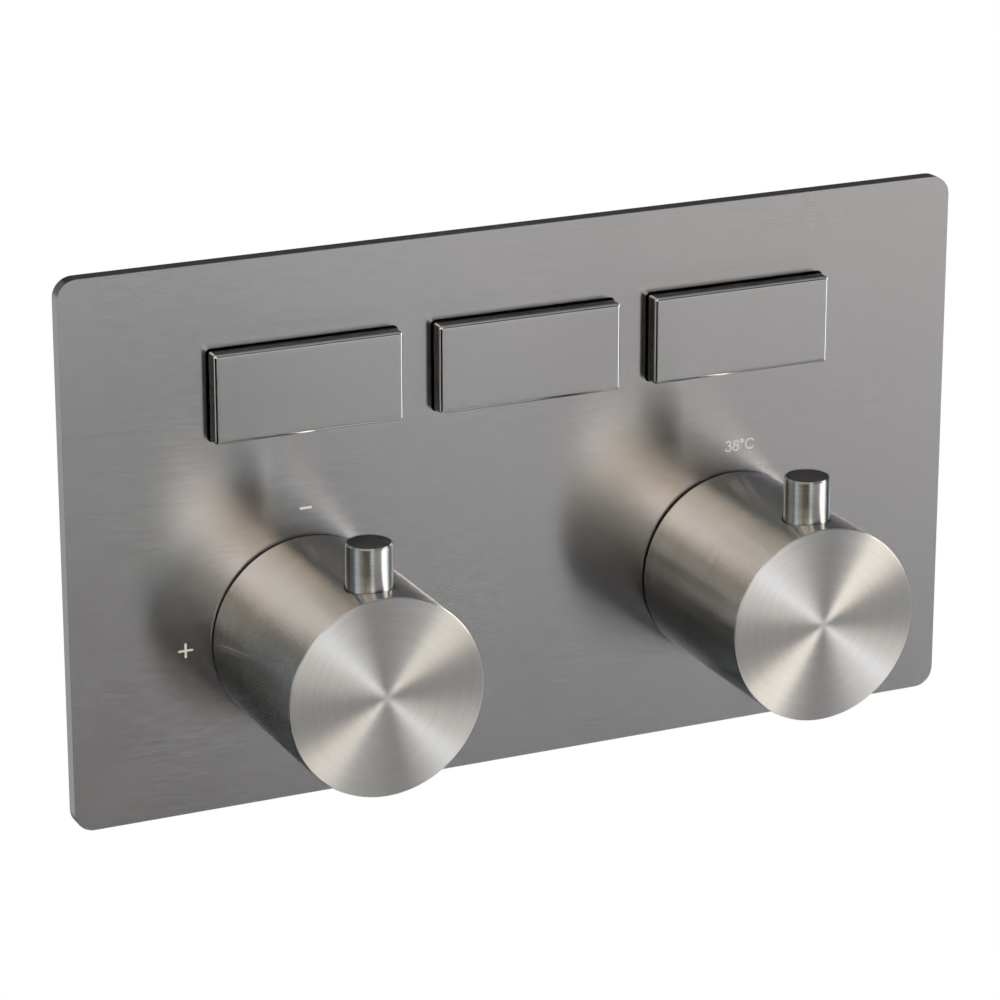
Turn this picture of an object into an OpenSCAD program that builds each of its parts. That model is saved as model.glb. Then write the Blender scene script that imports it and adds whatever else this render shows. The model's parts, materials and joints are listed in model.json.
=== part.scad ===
// Concealed thermostatic shower valve: a steel face plate with two knobs and three push buttons,
// and the brass valve behind it that sits in the wall.
// Origin: centre of the face plate on the finished wall. +X right, +Y into the wall, +Z up.

/* [Face plate] */
// Width of the face plate
plate_w = 240; // [236:1:270]
// Height of the face plate
plate_h = 139.2; // [138:0.2:160]
// Thickness of the face plate
plate_t = 4; // [3:0.5:5]
// Radius of the face plate's four corners
plate_corner_r = 5; // [2:0.5:8]
// Thickness of the foam seal between the face plate and the wall
seal_t = 1; // [0.8:0.1:1.5]
// Width of the foam seal
seal_w = 8; // [5:0.5:8]
// Distance of the foam seal from the plate's edge
seal_inset = 4; // [3:0.5:5]

/* [Layout] */
// Distance of the outer columns of controls from the plate's ends
side_margin = 61.4; // [59:0.2:62]
// Distance of the middle of the button row from the plate's top edge
button_margin = 32.6; // [31:0.2:33]
// Distance of the knob axes from the plate's bottom edge
knob_margin = 43; // [42:0.2:44]

/* [Knobs] */
// Diameter of a knob
knob_d = 50; // [47:0.5:54]
// Length of a knob
knob_len = 49; // [46:0.5:56]
// Gap between a knob and the face plate
knob_gap = 0.8; // [0.5:0.1:1.2]
// Edge break on a knob's front rim
knob_break = 0.25; // [0.1:0.05:0.6]
// Radius of the hollow in a knob's back
knob_hollow_r = 19; // [18:0.5:21]
// Depth of the hollow in a knob's back
knob_hollow_len = 16; // [14:0.5:18]
// Diameter of the lever pin in a knob
pin_d = 11.3; // [8:0.1:12.5]
// Height of the lever pin above the knob's crown
pin_rise = 10.3; // [6:0.1:14]
// Distance of the lever pin's axis behind the knob's front face
pin_setback = 10.2; // [8:0.1:11]
// Metal left between the lever pin's seat and the knob's insert
pin_floor = 2.6; // [2:0.1:6]
// Edge break round the top of the lever pin
pin_break = 0.55; // [0.2:0.05:1]

/* [Buttons] */
// Gap between neighbouring buttons
button_spacing = 9.6; // [9:0.1:12]
// Height of a button
button_h = 22.4; // [20:0.2:23]
// How far a button stands out of the face plate
button_stand = 4.6; // [4:0.1:6]
// Travel of a button
button_travel = 3; // [2:0.25:3.25]
// Gap all round a button in its window
button_gap = 0.45; // [0.3:0.05:0.6]
// Radius of a button's front edges and corners
button_edge_r = 0.8; // [0.4:0.1:1.5]
// Wall of a button's hollow cap
cap_wall = 1.2; // [1:0.1:1.6]
// Thickness of a button's front
cap_front_t = 1.6; // [1.2:0.1:2]

/* [Valve] */
// Radius of the bore that a G 1/2 pipe thread leaves
port_bore_r = 9.32; // [8.5:0.01:9.6]
// Length of the pipe thread in a port
port_thread_len = 15; // [12:0.5:16]
// Depth of the port axes behind the finished wall
port_depth = 62; // [61.5:0.25:63]
// Outer radius of a port
port_r = 14; // [13:0.25:14.5]
// Height of the outlet mouths above the button row
outlet_rise = 8; // [7:0.5:10]
// Distance of the inlet mouths below the knob axes
inlet_drop = 61.4; // [60:0.2:66]
// Depth of the cartridge bosses' front faces behind the finished wall
boss_depth = 26; // [25:0.5:27]
// Radius of the two cartridges
cart_r = 15.9; // [15.5:0.1:16.5]
// Turn of the flow knob from closed to full, in degrees
flow_turn = 90; // [60:5:120]
// Turn of the temperature knob from 38 degrees to cold, in degrees
cold_turn = 150; // [120:5:160]
// Turn of the temperature knob from 38 degrees to hot, in degrees
hot_turn = 75; // [45:5:80]

/* [Wall bracket] */
// Gap between the inlets' side and the wall bracket's flange
bracket_gap = 4.9; // [3:0.1:6]
// Height of the wall bracket
bracket_h = 122; // [120:1:126]
// Thickness of the wall bracket
bracket_t = 2.5; // [2:0.25:3]
// Radius of the wall bracket's fixing holes
fixing_hole_r = 3; // [2:0.25:3.5]

/* [Hidden] */
$fn = 96;

// Columns, by name: left, middle and right
left_share = -1;
middle_share = 0;
right_share = 1;
column_shares = [left_share, middle_share, right_share];

// Clearances
overrun = 1;          // how far a cut runs past the solid that it cuts
run_gap = 0.05;       // a turning or sliding piece in its bore, on the radius
seat_gap = 0.1;       // a fixed piece in its bore, on the radius
slide_gap = 0.2;      // a moulded slider in its guide, each side
wide_gap = 0.4;       // a moving piece beside a wall that it never touches
bore_step = 0.5;      // a drilling stops this far past the one that it meets

// Face plate: depths grow into the wall
back_y = -seal_t;
front_y = back_y - plate_t;
col_pitch = plate_w / 2 - side_margin;
button_rise = plate_h / 2 - button_margin;
knob_drop = plate_h / 2 - knob_margin;
button_w = col_pitch - button_spacing;
window_w = button_w + 2 * button_gap;
window_h = button_h + 2 * button_gap;
window_corner_r = button_edge_r + button_gap;
knob_z = -knob_drop;

// Knobs
knob_r = knob_d / 2;
knob_back_y = front_y - knob_gap;
knob_front_y = knob_back_y - knob_len;
hollow_y = knob_back_y - knob_hollow_len;
pin_r = pin_d / 2;
pin_y = knob_front_y + pin_setback;
insert_r = 8.9;
pin_seat = knob_r - insert_r - pin_floor;
insert_len = 18;
insert_chamfer = 1;
insert_front_y = hollow_y - insert_len;
grub_r = 2.5;
grub_len = 11;
grub_key_r = 1.45;
grub_key_len = 3;
grub_y = hollow_y - insert_len / 2;

// Spindles and their splines
spindle_r = 5;
spline_teeth = 20;
spline_tip_r = 4.8;
spline_root_r = 4.2;
spline_shares = [0, 0.3, 0.5, 0.8];
spline_len = 14;
spline_end_gap = 1.5;
spline_front_y = insert_front_y + spline_end_gap + seat_gap;
spline_back_y = spline_front_y + spline_len;
grub_tip_z = -(spindle_r + seat_gap);

// Cartridges: nut, neck and shoulder
nut_hex_r = 20.5;
nut_hex_len = 8;
nut_thread_r = 17.5;
nut_thread_len = 8;
nut_y = boss_depth - nut_hex_len;
shoulder_y = boss_depth + nut_thread_len;
neck_r = 12;
neck_stand = 4;
neck_y = nut_y - neck_stand;
cart_wall = 2.5;
cart_front_t = 4;
cart_in_r = cart_r - cart_wall;
cart_in_y = shoulder_y + cart_front_t;
cavity_r = cart_r + seat_gap;
cavity_len = 38;
cavity_y = shoulder_y + cavity_len;
flow_len = 20;
flow_base_y = shoulder_y + flow_len;
port_hole_r = 2;
port_hole_count = 8;
front_port_y = cart_in_y + port_hole_r;
rear_port_setback = 23;
rear_port_y = shoulder_y + rear_port_setback;

// Stops at the ends of each knob's turn
stop_base_t = 2;
stop_wall_len = 5;
stop_hole_r = 6;
stop_wall_t = 3.6;
stop_arm_r = 10.8;
stop_arm_w = 4;
stop_arm_t = 3.5;
stop_slack = 3;       // free turn left at each stop, in degrees
stop_y = neck_y - stop_base_t;
stop_front_y = stop_y - stop_wall_len;
stop_arm_y = stop_y - wide_gap - stop_arm_t;
stop_arm_turn = 2 * asin(stop_arm_w / 2 / (neck_r - stop_wall_t));

// Sleeves that cover the spindles where they pass the face plate
sleeve_r = 16;
sleeve_wall = 1.8;
sleeve_reach = 11;
sleeve_y = front_y - sleeve_reach;
plate_hole_r = 17.2;

// Ceramic discs and the flow spindle's tongue
disc_r = cart_in_r - wide_gap;
disc_t = 3;
driver_r = 10;
driver_len = 5;
driver_y = cart_in_y + run_gap;
moving_disc_y = driver_y + driver_len;
fixed_disc_y = moving_disc_y + disc_t;
base_seal_y = fixed_disc_y + disc_t;
base_seal_wall = 3.5;
tongue_w = 6;
tongue_len = 15;
tongue_t = 1.5;
disc_port_r = 11;
disc_port_in_r = 4;
disc_port_turn = 80;

// Thermostat: pusher, wax element, shuttle and return spring
temp_flange_r = 8;
temp_flange_len = 2.5;
screw_r = 4.5;
screw_y = cart_in_y + run_gap + temp_flange_len;
shift_per_turn = 3;   // travel of the pusher for one turn of the spindle
cold_shift = shift_per_turn * cold_turn / 360;
hot_shift = shift_per_turn * hot_turn / 360;
pusher_r = 8;
pusher_y = screw_y + hot_shift + wide_gap;
pusher_len = 6.5;
pusher_end_t = 1.2;
wax_y = pusher_y + pusher_len;
screw_back_y = wax_y - pusher_end_t - hot_shift - slide_gap;
wax_flange_r = 9;
wax_flange_t = 1.5;
wax_r = 4.5;
wax_len = 7.5;
wax_tip_r = 2.2;
wax_tip_len = 2.5;
shuttle_r = cart_in_r - run_gap;
shuttle_wall = 2.2;
shuttle_web_t = 1.6;
shuttle_web_y = wax_y + wax_flange_t;
shuttle_y = front_port_y + slide_gap;
shuttle_back_y = rear_port_y - slide_gap;
web_hole_count = 6;
web_hole_r = 1.4;
web_hole_ring_share = 0.5;
base_t = 3;
base_hole_r = 8;
base_room = 1.95;     // left behind the shuttle when it is at its coldest
base_y = shuttle_back_y + cold_shift + base_room;
temp_base_y = base_y + base_t;
spring_end_gap = 0.05;
return_mean_r = 9.6;
return_wire_r = 0.5;
return_turns = 3;

// O-rings round the cartridges
o_ring_r = 0.9;
o_ring_fit_r = o_ring_r - seat_gap / 2;   // section of the ring as fitted
o_ring_mean_r = cavity_r - o_ring_fit_r;
flow_ring_setbacks = [10, 16];
temp_ring_setbacks = [12, 26.5];

// Support frame behind the face plate, and the foot it stands on
frame_y = 4.5;
frame_t = 1.5;
frame_inset = 15;
frame_w = plate_w - 2 * frame_inset;
frame_corner_r = 4;
frame_back_y = frame_y + frame_t;
frame_hole_r = 22;
post_r = 6;
post_y = 20;
post_share = 0.5;     // the posts stand half a pitch from the middle column
standoff_r = 4.6;
standoff_stud_r = 2.4;
standoff_stud_len = 5;
screw4_r = 2;
screw4_head_r = 3.5;
screw4_head_len = 1.6;
screw4_grip = 6;
stud_r = 2.5;
stud_reach = 11;
stud_inset_x = 24;
stud_inset_z = 19.6;
stud_x = plate_w / 2 - stud_inset_x;
stud_low_z = -plate_h / 2 + stud_inset_z;
stud_gap = 1.4;       // between a stud's grip and the button guide above it
grip_r = 5;
grip_flange_r = 6.8;
grip_flange_t = 1.2;

// Button caps, carriers and guide
cap_y = front_y - button_stand;
flange_lip = 0.8;
flange_t = 2;
flange_y = back_y + slide_gap + seat_gap;
flange_w = window_w + 2 * flange_lip;
flange_h = window_h + 2 * flange_lip;
cap_back_y = flange_y - slide_gap;
carrier_front_y = cap_y + cap_front_t;
carrier_w = button_w - 2 * cap_wall - 2 * slide_gap;
carrier_h = button_h - 2 * cap_wall - 2 * slide_gap;
carrier_wall = 1.6;
carrier_front_t = 1.6;
carrier_boss_r = 7.6;
carrier_back_y = flange_y + flange_t;
stem_r = 4.4;
stem_len = 3.6;
rod_seat = 5;
guide_wall = 1.8;
guide_in_w = flange_w + 2 * slide_gap;
guide_in_h = flange_h + 2 * slide_gap;
guide_w = guide_in_w + 2 * guide_wall;
guide_h = guide_in_h + 2 * guide_wall;
guide_corner_r = 1.2;
guide_front_y = back_y + wide_gap;
guide_base_t = 2;
guide_base_y = frame_y - guide_base_t;
guide_base_lip = 1.4;
guide_lap = 2.5;      // length of guide left behind a pressed button's flange
guide_back_y = frame_back_y + button_travel + guide_lap;
ear_r = 4;
ear_reach = 3.2;
screw3_r = 1.5;
screw3_head_r = 2.75;
screw3_head_len = 1.6;
screw3_grip = 5;
ear_low_shares = [-1, 0, 1];
ear_high_shares = [-0.5, 0.5];
ear_low_z = button_rise - guide_h / 2 - ear_reach;
ear_high_z = button_rise + guide_h / 2 + ear_reach;
stud_high_z = button_rise - guide_h / 2 - guide_base_lip - stud_gap - grip_flange_r;

// Push cartridges: pressed in, the plunger lifts its valve off the seat
push_hex_r = 12.6;
push_hex_len = 6.5;
push_boss_y = 20;
push_hex_y = push_boss_y - push_hex_len;
push_r = 10;
push_len = 22;
push_back_y = push_boss_y + push_len;
push_neck_len = 6;
push_chamber_r = 7;
push_seat_t = 2;
push_seat_r = 4.4;
push_port_setback = 16;
push_port_y = push_boss_y + push_port_setback;
push_port_r = 2.4;
rod_r = 2.5;
poppet_r = 5.2;
poppet_t = 1.8;
poppet_y = push_back_y + slide_gap;
spring_mean_r = 6;
spring_wire_r = 0.55;
spring_turns = 5;
coil_sides = 6;
coil_steps = 10;

// Valve body: bosses, galleries and ports
boss_r = 22;
boss_floor_t = 3.5;
gallery_r = 9.5;
gallery_bore_r = 5.5;
upper_drop = 22;      // the upper gallery lies this far below the button row
upper_z = button_rise - upper_drop;
lower_drop = 24;      // the hot gallery lies this far below the knob axes
lower_z = knob_z - lower_drop;
frame_edge = 4.4;     // from the frame's last row of screws to its edge
frame_h = 2 * (max(ear_high_z, -lower_z) + frame_edge);
riser_r = 9;
riser_bore_r = 4.5;
riser_over = 3;       // the flow riser runs this far past the upper gallery's axis
side_step = 8;        // the risers stand this far to each side of the thermostat's axis
hot_x = col_pitch - side_step;
inlet_x = col_pitch + side_step;
mixed_r = 8;
mixed_bore_r = 4.5;
mixed_y = cavity_y - mixed_bore_r - bore_step;
push_boss_r = 14;
outlet_z = button_rise + outlet_rise;
elbow_drop = 12.5;    // the elbow below a push cartridge leads to the foot of its outlet
elbow_z = button_rise - elbow_drop;
elbow_r = 8;
elbow_bore_r = 3.5;
shaft_r = 4;          // the drilling down to an elbow
elbow_wall = 1.5;
elbow_y = push_back_y + shaft_r + elbow_wall;
push_boss_back_y = elbow_y + shaft_r + elbow_wall;
elbow_foot_z = elbow_z - elbow_bore_r - bore_step;
valve_chamber_r = 6;
valve_chamber_len = slide_gap + poppet_t + button_travel + overrun;
waterway_r = 7;
spot_r = 15.5;        // flat cut round an outlet's mouth, for a spanner
inlet_z = knob_z - inlet_drop;
hex_len = 12;
hex_share = 1.18;     // the spanner hexagon's corner radius, as a share of the port's radius
filter_t = 1.5;
check_r = 7.6;
filter_z = inlet_z + port_thread_len;
check_z = filter_z + filter_t;
foot_r = 7;
foot_gap = 2;
plug_stand = 2;       // the hot gallery's plug stands this far out of the port beside it
bracket_y = max(port_depth + port_r, cavity_y + boss_floor_t) + foot_gap;
bracket_back_y = bracket_y + bracket_t;

// Check valves
check_wall = 1.6;
check_seat_t = 2;
check_seat_r = 4.2;
check_head_r = 5.2;
check_head_t = 2;
check_stem_r = 1.5;
check_lift = 3;
check_coil_room = 5;  // length of the spring when its poppet is lifted
check_guide_t = 2;
check_guide_r = 4.4;
check_spring_r = 3.3;
check_wire_r = 0.35;
check_turns = 4;
check_spokes = 3;
check_spoke_w = 1.6;
check_len = check_seat_t + check_head_t + check_lift + check_coil_room + check_guide_t;
check_head_z = check_z + check_seat_t + run_gap;
check_guide_z = check_z + check_len - check_guide_t;
filter_hole_r = 0.9;
filter_rings = 2;
filter_ring_step = 2.6;
filter_ring_holes = 6;

// Wall bracket
bracket_w = 2 * (inlet_x + port_r + plug_stand + bracket_gap + bracket_t);
bracket_flange = 9;
bracket_top_gap = 1;  // the bracket ends this far below the outlet mouths
bracket_z = outlet_z - bracket_top_gap - bracket_h / 2;
bracket_corner_r = 3;
fixing_inset_x = 9;
fixing_inset_z = 8;
screw6_r = 2.9;
screw6_core_r = 3;
screw6_head_r = 5.4;
screw6_len = 14;

// plain shapes

module rod_x(r, x0, x1) translate([x0, 0, 0]) rotate([0, 90, 0]) cylinder(r = r, h = x1 - x0);
module rod_y(r, y0, y1) translate([0, y0, 0]) rotate([-90, 0, 0]) cylinder(r = r, h = y1 - y0);
module rod_z(r, z0, z1) translate([0, 0, z0]) cylinder(r = r, h = z1 - z0);

module tube_y(ro, ri, y0, y1) difference() {
    rod_y(ro, y0, y1);
    rod_y(ri, y0 - overrun, y1 + overrun);
}

// A turned piece about the Y axis, from a half section of [radius, depth] points
module turned_y(points) rotate([-90, 0, 0]) rotate_extrude() polygon(points);

// Part of a ring about the Y axis, anticlockwise from the top as seen from the front
module arc_y(ro, ri, y0, y1, start, sweep)
    rotate([0, -(90 + start), 0]) rotate([90, 0, 0])
        rotate_extrude(angle = sweep) translate([ri, -y1]) square([ro - ri, y1 - y0]);

module rounded(w, h, r) {
    square([w - 2 * r, h], center = true);
    square([w, h - 2 * r], center = true);
    for (x = [-1, 1], z = [-1, 1]) translate([x * (w / 2 - r), z * (h / 2 - r)]) circle(r = r);
}

// A flat piece in the wall's plane, between two depths
module slab(w, h, r, y0, y1)
    translate([0, y1, 0]) rotate([90, 0, 0]) linear_extrude(y1 - y0) rounded(w, h, r);

module box_y(w, h, y0, y1) translate([-w / 2, y0, -h / 2]) cube([w, y1 - y0, h]);

module hex_y(r, y0, y1) translate([0, y0, 0]) rotate([-90, 0, 0]) cylinder(r = r, h = y1 - y0, $fn = 6);

module ring_y(mean_r, wire, y) translate([0, y, 0]) rotate([-90, 0, 0])
    rotate_extrude() translate([mean_r, 0]) circle(r = wire, $fn = 24);

// Points of a toothed shaft's section
function spline(tip, root) = [
    for (i = [0 : spline_teeth - 1], k = [0 : 3])
        let (a = (i + spline_shares[k]) * 360 / spline_teeth, r = k < 2 ? root : tip)
            [r * cos(a), r * sin(a)]
];

module spline_y(tip, root, y0, y1)
    translate([0, y1, 0]) rotate([90, 0, 0]) linear_extrude(y1 - y0) polygon(spline(tip, root));

// A coil spring about the Z axis: rings of points along a helix, skinned with triangles
module coil(mean_r, wire, z0, z1, turns) {
    steps = turns * coil_steps;
    low = z0 + wire + spring_end_gap;
    rise = z1 - z0 - 2 * (wire + spring_end_gap);
    points = [
        for (i = [0 : steps], j = [0 : coil_sides - 1])
            let (a = i * 360 / coil_steps, b = j * 360 / coil_sides, r = mean_r + wire * cos(b))
                [r * cos(a), r * sin(a), low + rise * i / steps - wire * sin(b)]
    ];
    sides = [
        for (i = [0 : steps - 1], j = [0 : coil_sides - 1])
            let (p = i * coil_sides + j, q = i * coil_sides + (j + 1) % coil_sides)
                each [[p, p + coil_sides, q + coil_sides], [p, q + coil_sides, q]]
    ];
    first = [for (j = [0 : coil_sides - 1]) j];
    last = [for (j = [coil_sides - 1 : -1 : 0]) steps * coil_sides + j];
    polyhedron(points, concat([first, last], sides));
}

module coil_y(mean_r, wire, y0, y1, turns)
    rotate([-90, 0, 0]) coil(mean_r, wire, y0, y1, turns);

// Places
module at_knob(share) translate([share * col_pitch, 0, knob_z]) children();
module at_button(share) translate([share * col_pitch, 0, button_rise]) children();
module at_posts() for (x = [-post_share, post_share], z = [upper_z, lower_z])
    translate([x * col_pitch, 0, z]) children();
module at_studs() for (x = [-1, 1], z = [stud_low_z, stud_high_z])
    translate([x * stud_x, 0, z]) children();
module at_ears() {
    for (s = ear_low_shares) translate([s * col_pitch, 0, ear_low_z]) children();
    for (s = ear_high_shares) translate([s * col_pitch, 0, ear_high_z]) children();
}
module at_inlet(share) translate([share * inlet_x, port_depth, 0]) children();

// face plate and what holds it

module face_plate() color("silver") {
    difference() {
        slab(plate_w, plate_h, plate_corner_r, front_y, back_y);
        for (s = column_shares)
            at_button(s) slab(window_w, window_h, window_corner_r, front_y - overrun, back_y + overrun);
        for (s = [left_share, right_share])
            at_knob(s) rod_y(plate_hole_r, front_y - overrun, back_y + overrun);
    }
    at_studs() rod_y(stud_r, back_y - plate_t / 2, stud_reach + back_y);
}

module plate_seal() color("dimgray") difference() {
    slab(plate_w - 2 * seal_inset, plate_h - 2 * seal_inset, plate_corner_r, back_y, 0);
    slab(plate_w - 2 * (seal_inset + seal_w), plate_h - 2 * (seal_inset + seal_w), plate_corner_r,
        back_y - overrun, overrun);
}

module stud_grips() color("dimgray") at_studs() turned_y([
    [stud_r + seat_gap / 2, frame_y - grip_flange_t], [grip_flange_r, frame_y - grip_flange_t],
    [grip_flange_r, frame_y], [grip_r - seat_gap / 2, frame_y],
    [grip_r - seat_gap / 2, frame_back_y], [grip_flange_r, frame_back_y],
    [grip_flange_r, frame_back_y + grip_flange_t], [stud_r + seat_gap / 2, frame_back_y + grip_flange_t]
]);

module support_frame() color("lightsteelblue") difference() {
    slab(frame_w, frame_h, frame_corner_r, frame_y, frame_back_y);
    for (s = column_shares) at_button(s)
        slab(guide_w + 2 * slide_gap, guide_h + 2 * slide_gap, guide_corner_r, frame_y - overrun,
            frame_back_y + overrun);
    for (s = [left_share, right_share])
        at_knob(s) rod_y(frame_hole_r, frame_y - overrun, frame_back_y + overrun);
    at_studs() rod_y(grip_r, frame_y - overrun, frame_back_y + overrun);
    at_posts() rod_y(screw4_r + seat_gap, frame_y - overrun, frame_back_y + overrun);
    at_ears() rod_y(screw3_r + seat_gap, frame_y - overrun, frame_back_y + overrun);
}

module frame_standoffs() color("gainsboro") at_posts() {
    difference() {
        hex_y(standoff_r, frame_back_y, post_y);
        rod_y(screw4_r + seat_gap, frame_back_y - overrun, frame_back_y + screw4_grip + overrun);
    }
    rod_y(standoff_stud_r, post_y - overrun, post_y + standoff_stud_len);
}

module frame_screws() color("gainsboro") at_posts() difference() {
    union() {
        rod_y(screw4_head_r, frame_y - screw4_head_len, frame_y);
        rod_y(screw4_r, frame_y - screw4_head_len, frame_back_y + screw4_grip);
    }
    hex_y(screw4_r / 2, frame_y - screw4_head_len - overrun, frame_y - screw4_head_len / 2);
}

// buttons

// The cap's rounded block: a hull of four balls at the front corners and four short rods behind
module cap_block() hull() for (x = [-1, 1], z = [-1, 1])
    translate([x * (button_w / 2 - button_edge_r), 0, z * (button_h / 2 - button_edge_r)]) {
        translate([0, cap_y + button_edge_r, 0]) sphere(r = button_edge_r, $fn = 32);
        translate([0, cap_back_y, 0]) rotate([90, 0, 0])
            cylinder(r = button_edge_r, h = cap_wall, $fn = 32);
    }

module button(share) color("silver") at_button(share) difference() {
    cap_block();
    box_y(button_w - 2 * cap_wall, button_h - 2 * cap_wall, carrier_front_y, cap_back_y + overrun);
}

// Moulded carrier: an open box with a flange that stops behind the plate, and a sprung stem
module button_carrier(share) color("dimgray") at_button(share) difference() {
    union() {
        difference() {
            union() {
                box_y(carrier_w, carrier_h, carrier_front_y, flange_y + overrun);
                slab(flange_w, flange_h, guide_corner_r, flange_y, carrier_back_y);
            }
            box_y(carrier_w - 2 * carrier_wall, carrier_h - 2 * carrier_wall,
                carrier_front_y + carrier_front_t, carrier_back_y + overrun);
        }
        rod_y(carrier_boss_r, carrier_front_y + carrier_front_t / 2, carrier_back_y);
        box_y(carrier_w - carrier_wall, carrier_wall, carrier_front_y + carrier_front_t / 2, carrier_back_y);
        rod_y(stem_r, carrier_front_y + carrier_front_t, carrier_back_y + stem_len);
    }
    rod_y(rod_r + seat_gap, carrier_back_y + stem_len - rod_seat, carrier_back_y + stem_len + overrun);
}

// Moulded guide: three open tubes on one base that screws to the support frame
module button_guide() color("darkslategray") difference() {
    union() {
        for (s = column_shares) at_button(s) {
            slab(guide_w, guide_h, guide_corner_r, guide_front_y, guide_back_y);
            slab(guide_w + 2 * guide_base_lip, guide_h + 2 * guide_base_lip, guide_corner_r,
                guide_base_y, frame_y);
        }
        translate([0, 0, button_rise])
            box_y(2 * col_pitch, guide_h + 2 * guide_base_lip, guide_base_y, frame_y);
        at_ears() rod_y(ear_r, guide_base_y, frame_y);
    }
    for (s = column_shares) at_button(s)
        slab(guide_in_w, guide_in_h, guide_corner_r, guide_front_y - overrun, guide_back_y + overrun);
    at_ears() rod_y(screw3_r + seat_gap, guide_base_y - overrun, frame_y + overrun);
}

module guide_screws() color("gainsboro") at_ears() difference() {
    union() {
        rod_y(screw3_head_r, guide_base_y - screw3_head_len, guide_base_y);
        rod_y(screw3_r, guide_base_y - screw3_head_len, frame_back_y + screw3_grip);
    }
    hex_y(screw3_r / 2, guide_base_y - screw3_head_len - overrun, guide_base_y - screw3_head_len / 2);
}

module button_spring(share) color("lightgray") at_button(share)
    coil_y(spring_mean_r, spring_wire_r, carrier_back_y, push_hex_y, spring_turns);

// push cartridges

module push_housing(share) color("goldenrod") at_button(share) difference() {
    union() {
        hex_y(push_hex_r, push_hex_y, push_boss_y);
        rod_y(push_r, push_boss_y - overrun, push_back_y);
    }
    rod_y(rod_r + run_gap, push_hex_y - overrun, push_back_y);
    rod_y(push_chamber_r, push_boss_y + push_neck_len, push_back_y - push_seat_t);
    rod_y(push_seat_r, push_back_y - push_seat_t - overrun, push_back_y + overrun);
    translate([0, push_port_y, 0]) {
        rod_x(push_port_r, -push_r - overrun, push_r + overrun);
        rod_z(push_port_r, -push_r - overrun, push_r + overrun);
    }
}

module plunger(share) color("lightgray") at_button(share) {
    rod_y(rod_r, carrier_back_y + stem_len - rod_seat, poppet_y + poppet_t);
    rod_y(poppet_r, poppet_y, poppet_y + poppet_t);
}

// knobs

module knob(share) color("silver") at_knob(share) difference() {
    turned_y([
        [0, knob_front_y], [knob_r - knob_break, knob_front_y], [knob_r, knob_front_y + knob_break],
        [knob_r, knob_back_y - knob_break], [knob_r - knob_break, knob_back_y], [0, knob_back_y]
    ]);
    rod_y(knob_hollow_r, hollow_y, knob_back_y + overrun);
    rod_y(insert_r + seat_gap, insert_front_y, hollow_y + overrun);
    translate([0, pin_y, 0]) rod_z(pin_r + seat_gap, knob_r - pin_seat, knob_r + overrun);
    translate([0, grub_y, 0]) rod_z(grub_r + run_gap, -knob_r - overrun, 0);
}

module lever_pin(share) color("gainsboro") at_knob(share) translate([0, pin_y, 0])
    rotate_extrude() polygon([
        [0, knob_r - pin_seat], [pin_r, knob_r - pin_seat], [pin_r, knob_r + pin_rise - pin_break],
        [pin_r - pin_break, knob_r + pin_rise], [0, knob_r + pin_rise]
    ]);

module knob_insert(share) color("dimgray") at_knob(share) difference() {
    turned_y([
        [0, insert_front_y], [insert_r - insert_chamfer, insert_front_y],
        [insert_r, insert_front_y + insert_chamfer], [insert_r, hollow_y], [0, hollow_y]
    ]);
    spline_y(spline_tip_r + seat_gap, spline_root_r + seat_gap, insert_front_y + spline_end_gap,
        spline_back_y);
    rod_y(spindle_r + seat_gap, spline_back_y - seat_gap, hollow_y + overrun);
    translate([0, grub_y, 0]) rod_z(grub_r + run_gap, -insert_r - overrun, 0);
}

module grub_screw(share) color("gray") at_knob(share) translate([0, grub_y, 0]) difference() {
    rod_z(grub_r, grub_tip_z - grub_len, grub_tip_z);
    translate([0, 0, grub_tip_z - grub_len - overrun])
        cylinder(r = grub_key_r, h = grub_key_len + overrun, $fn = 6);
}

// Spindle's outer end: a toothed tip, a round shaft and the arm that meets the stops
module spindle_shaft(y1) {
    spline_y(spline_tip_r, spline_root_r, spline_front_y, spline_back_y + overrun);
    rod_y(spindle_r, spline_back_y, y1);
    rod_y(stop_hole_r + run_gap, stop_arm_y, stop_arm_y + stop_arm_t);
    translate([-stop_arm_w / 2, stop_arm_y, 0]) cube([stop_arm_w, stop_arm_t, stop_arm_r]);
}

module flow_spindle() color("goldenrod") at_knob(left_share) {
    spindle_shaft(driver_y + overrun);
    rod_y(driver_r, driver_y, moving_disc_y);
    translate([-tongue_len / 2, moving_disc_y - overrun, -tongue_w / 2])
        cube([tongue_len, tongue_t + overrun, tongue_w]);
}

module temp_spindle() color("goldenrod") at_knob(right_share) {
    spindle_shaft(screw_y);
    rod_y(temp_flange_r, cart_in_y + run_gap, screw_y);
    rod_y(screw_r, screw_y - overrun, screw_back_y);
}

// cartridges

module cartridge_nuts() color("goldenrod") for (s = [left_share, right_share]) at_knob(s) difference() {
    union() {
        hex_y(nut_hex_r, nut_y, boss_depth);
        rod_y(nut_thread_r - seat_gap, boss_depth - overrun, shoulder_y);
    }
    rod_y(neck_r + seat_gap, nut_y - overrun, shoulder_y + overrun);
}

module spindle_sleeves() color("silver") for (s = [left_share, right_share])
    at_knob(s) tube_y(sleeve_r, sleeve_r - sleeve_wall, sleeve_y, nut_y);

module sleeve_seals() color("dimgray") for (s = [left_share, right_share])
    at_knob(s) tube_y(plate_hole_r - seat_gap, sleeve_r + seat_gap, front_y + seat_gap, back_y - seat_gap);

module stop_ring(share, start, sweep) color("ivory") at_knob(share) {
    tube_y(neck_r, stop_hole_r, stop_y, neck_y);
    arc_y(neck_r - seat_gap, neck_r - stop_wall_t, stop_front_y, stop_y + seat_gap, start, sweep);
}

module flow_stop_ring()
    stop_ring(left_share, flow_turn + stop_arm_turn / 2 + stop_slack,
        360 - flow_turn - stop_arm_turn - 2 * stop_slack);

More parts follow.
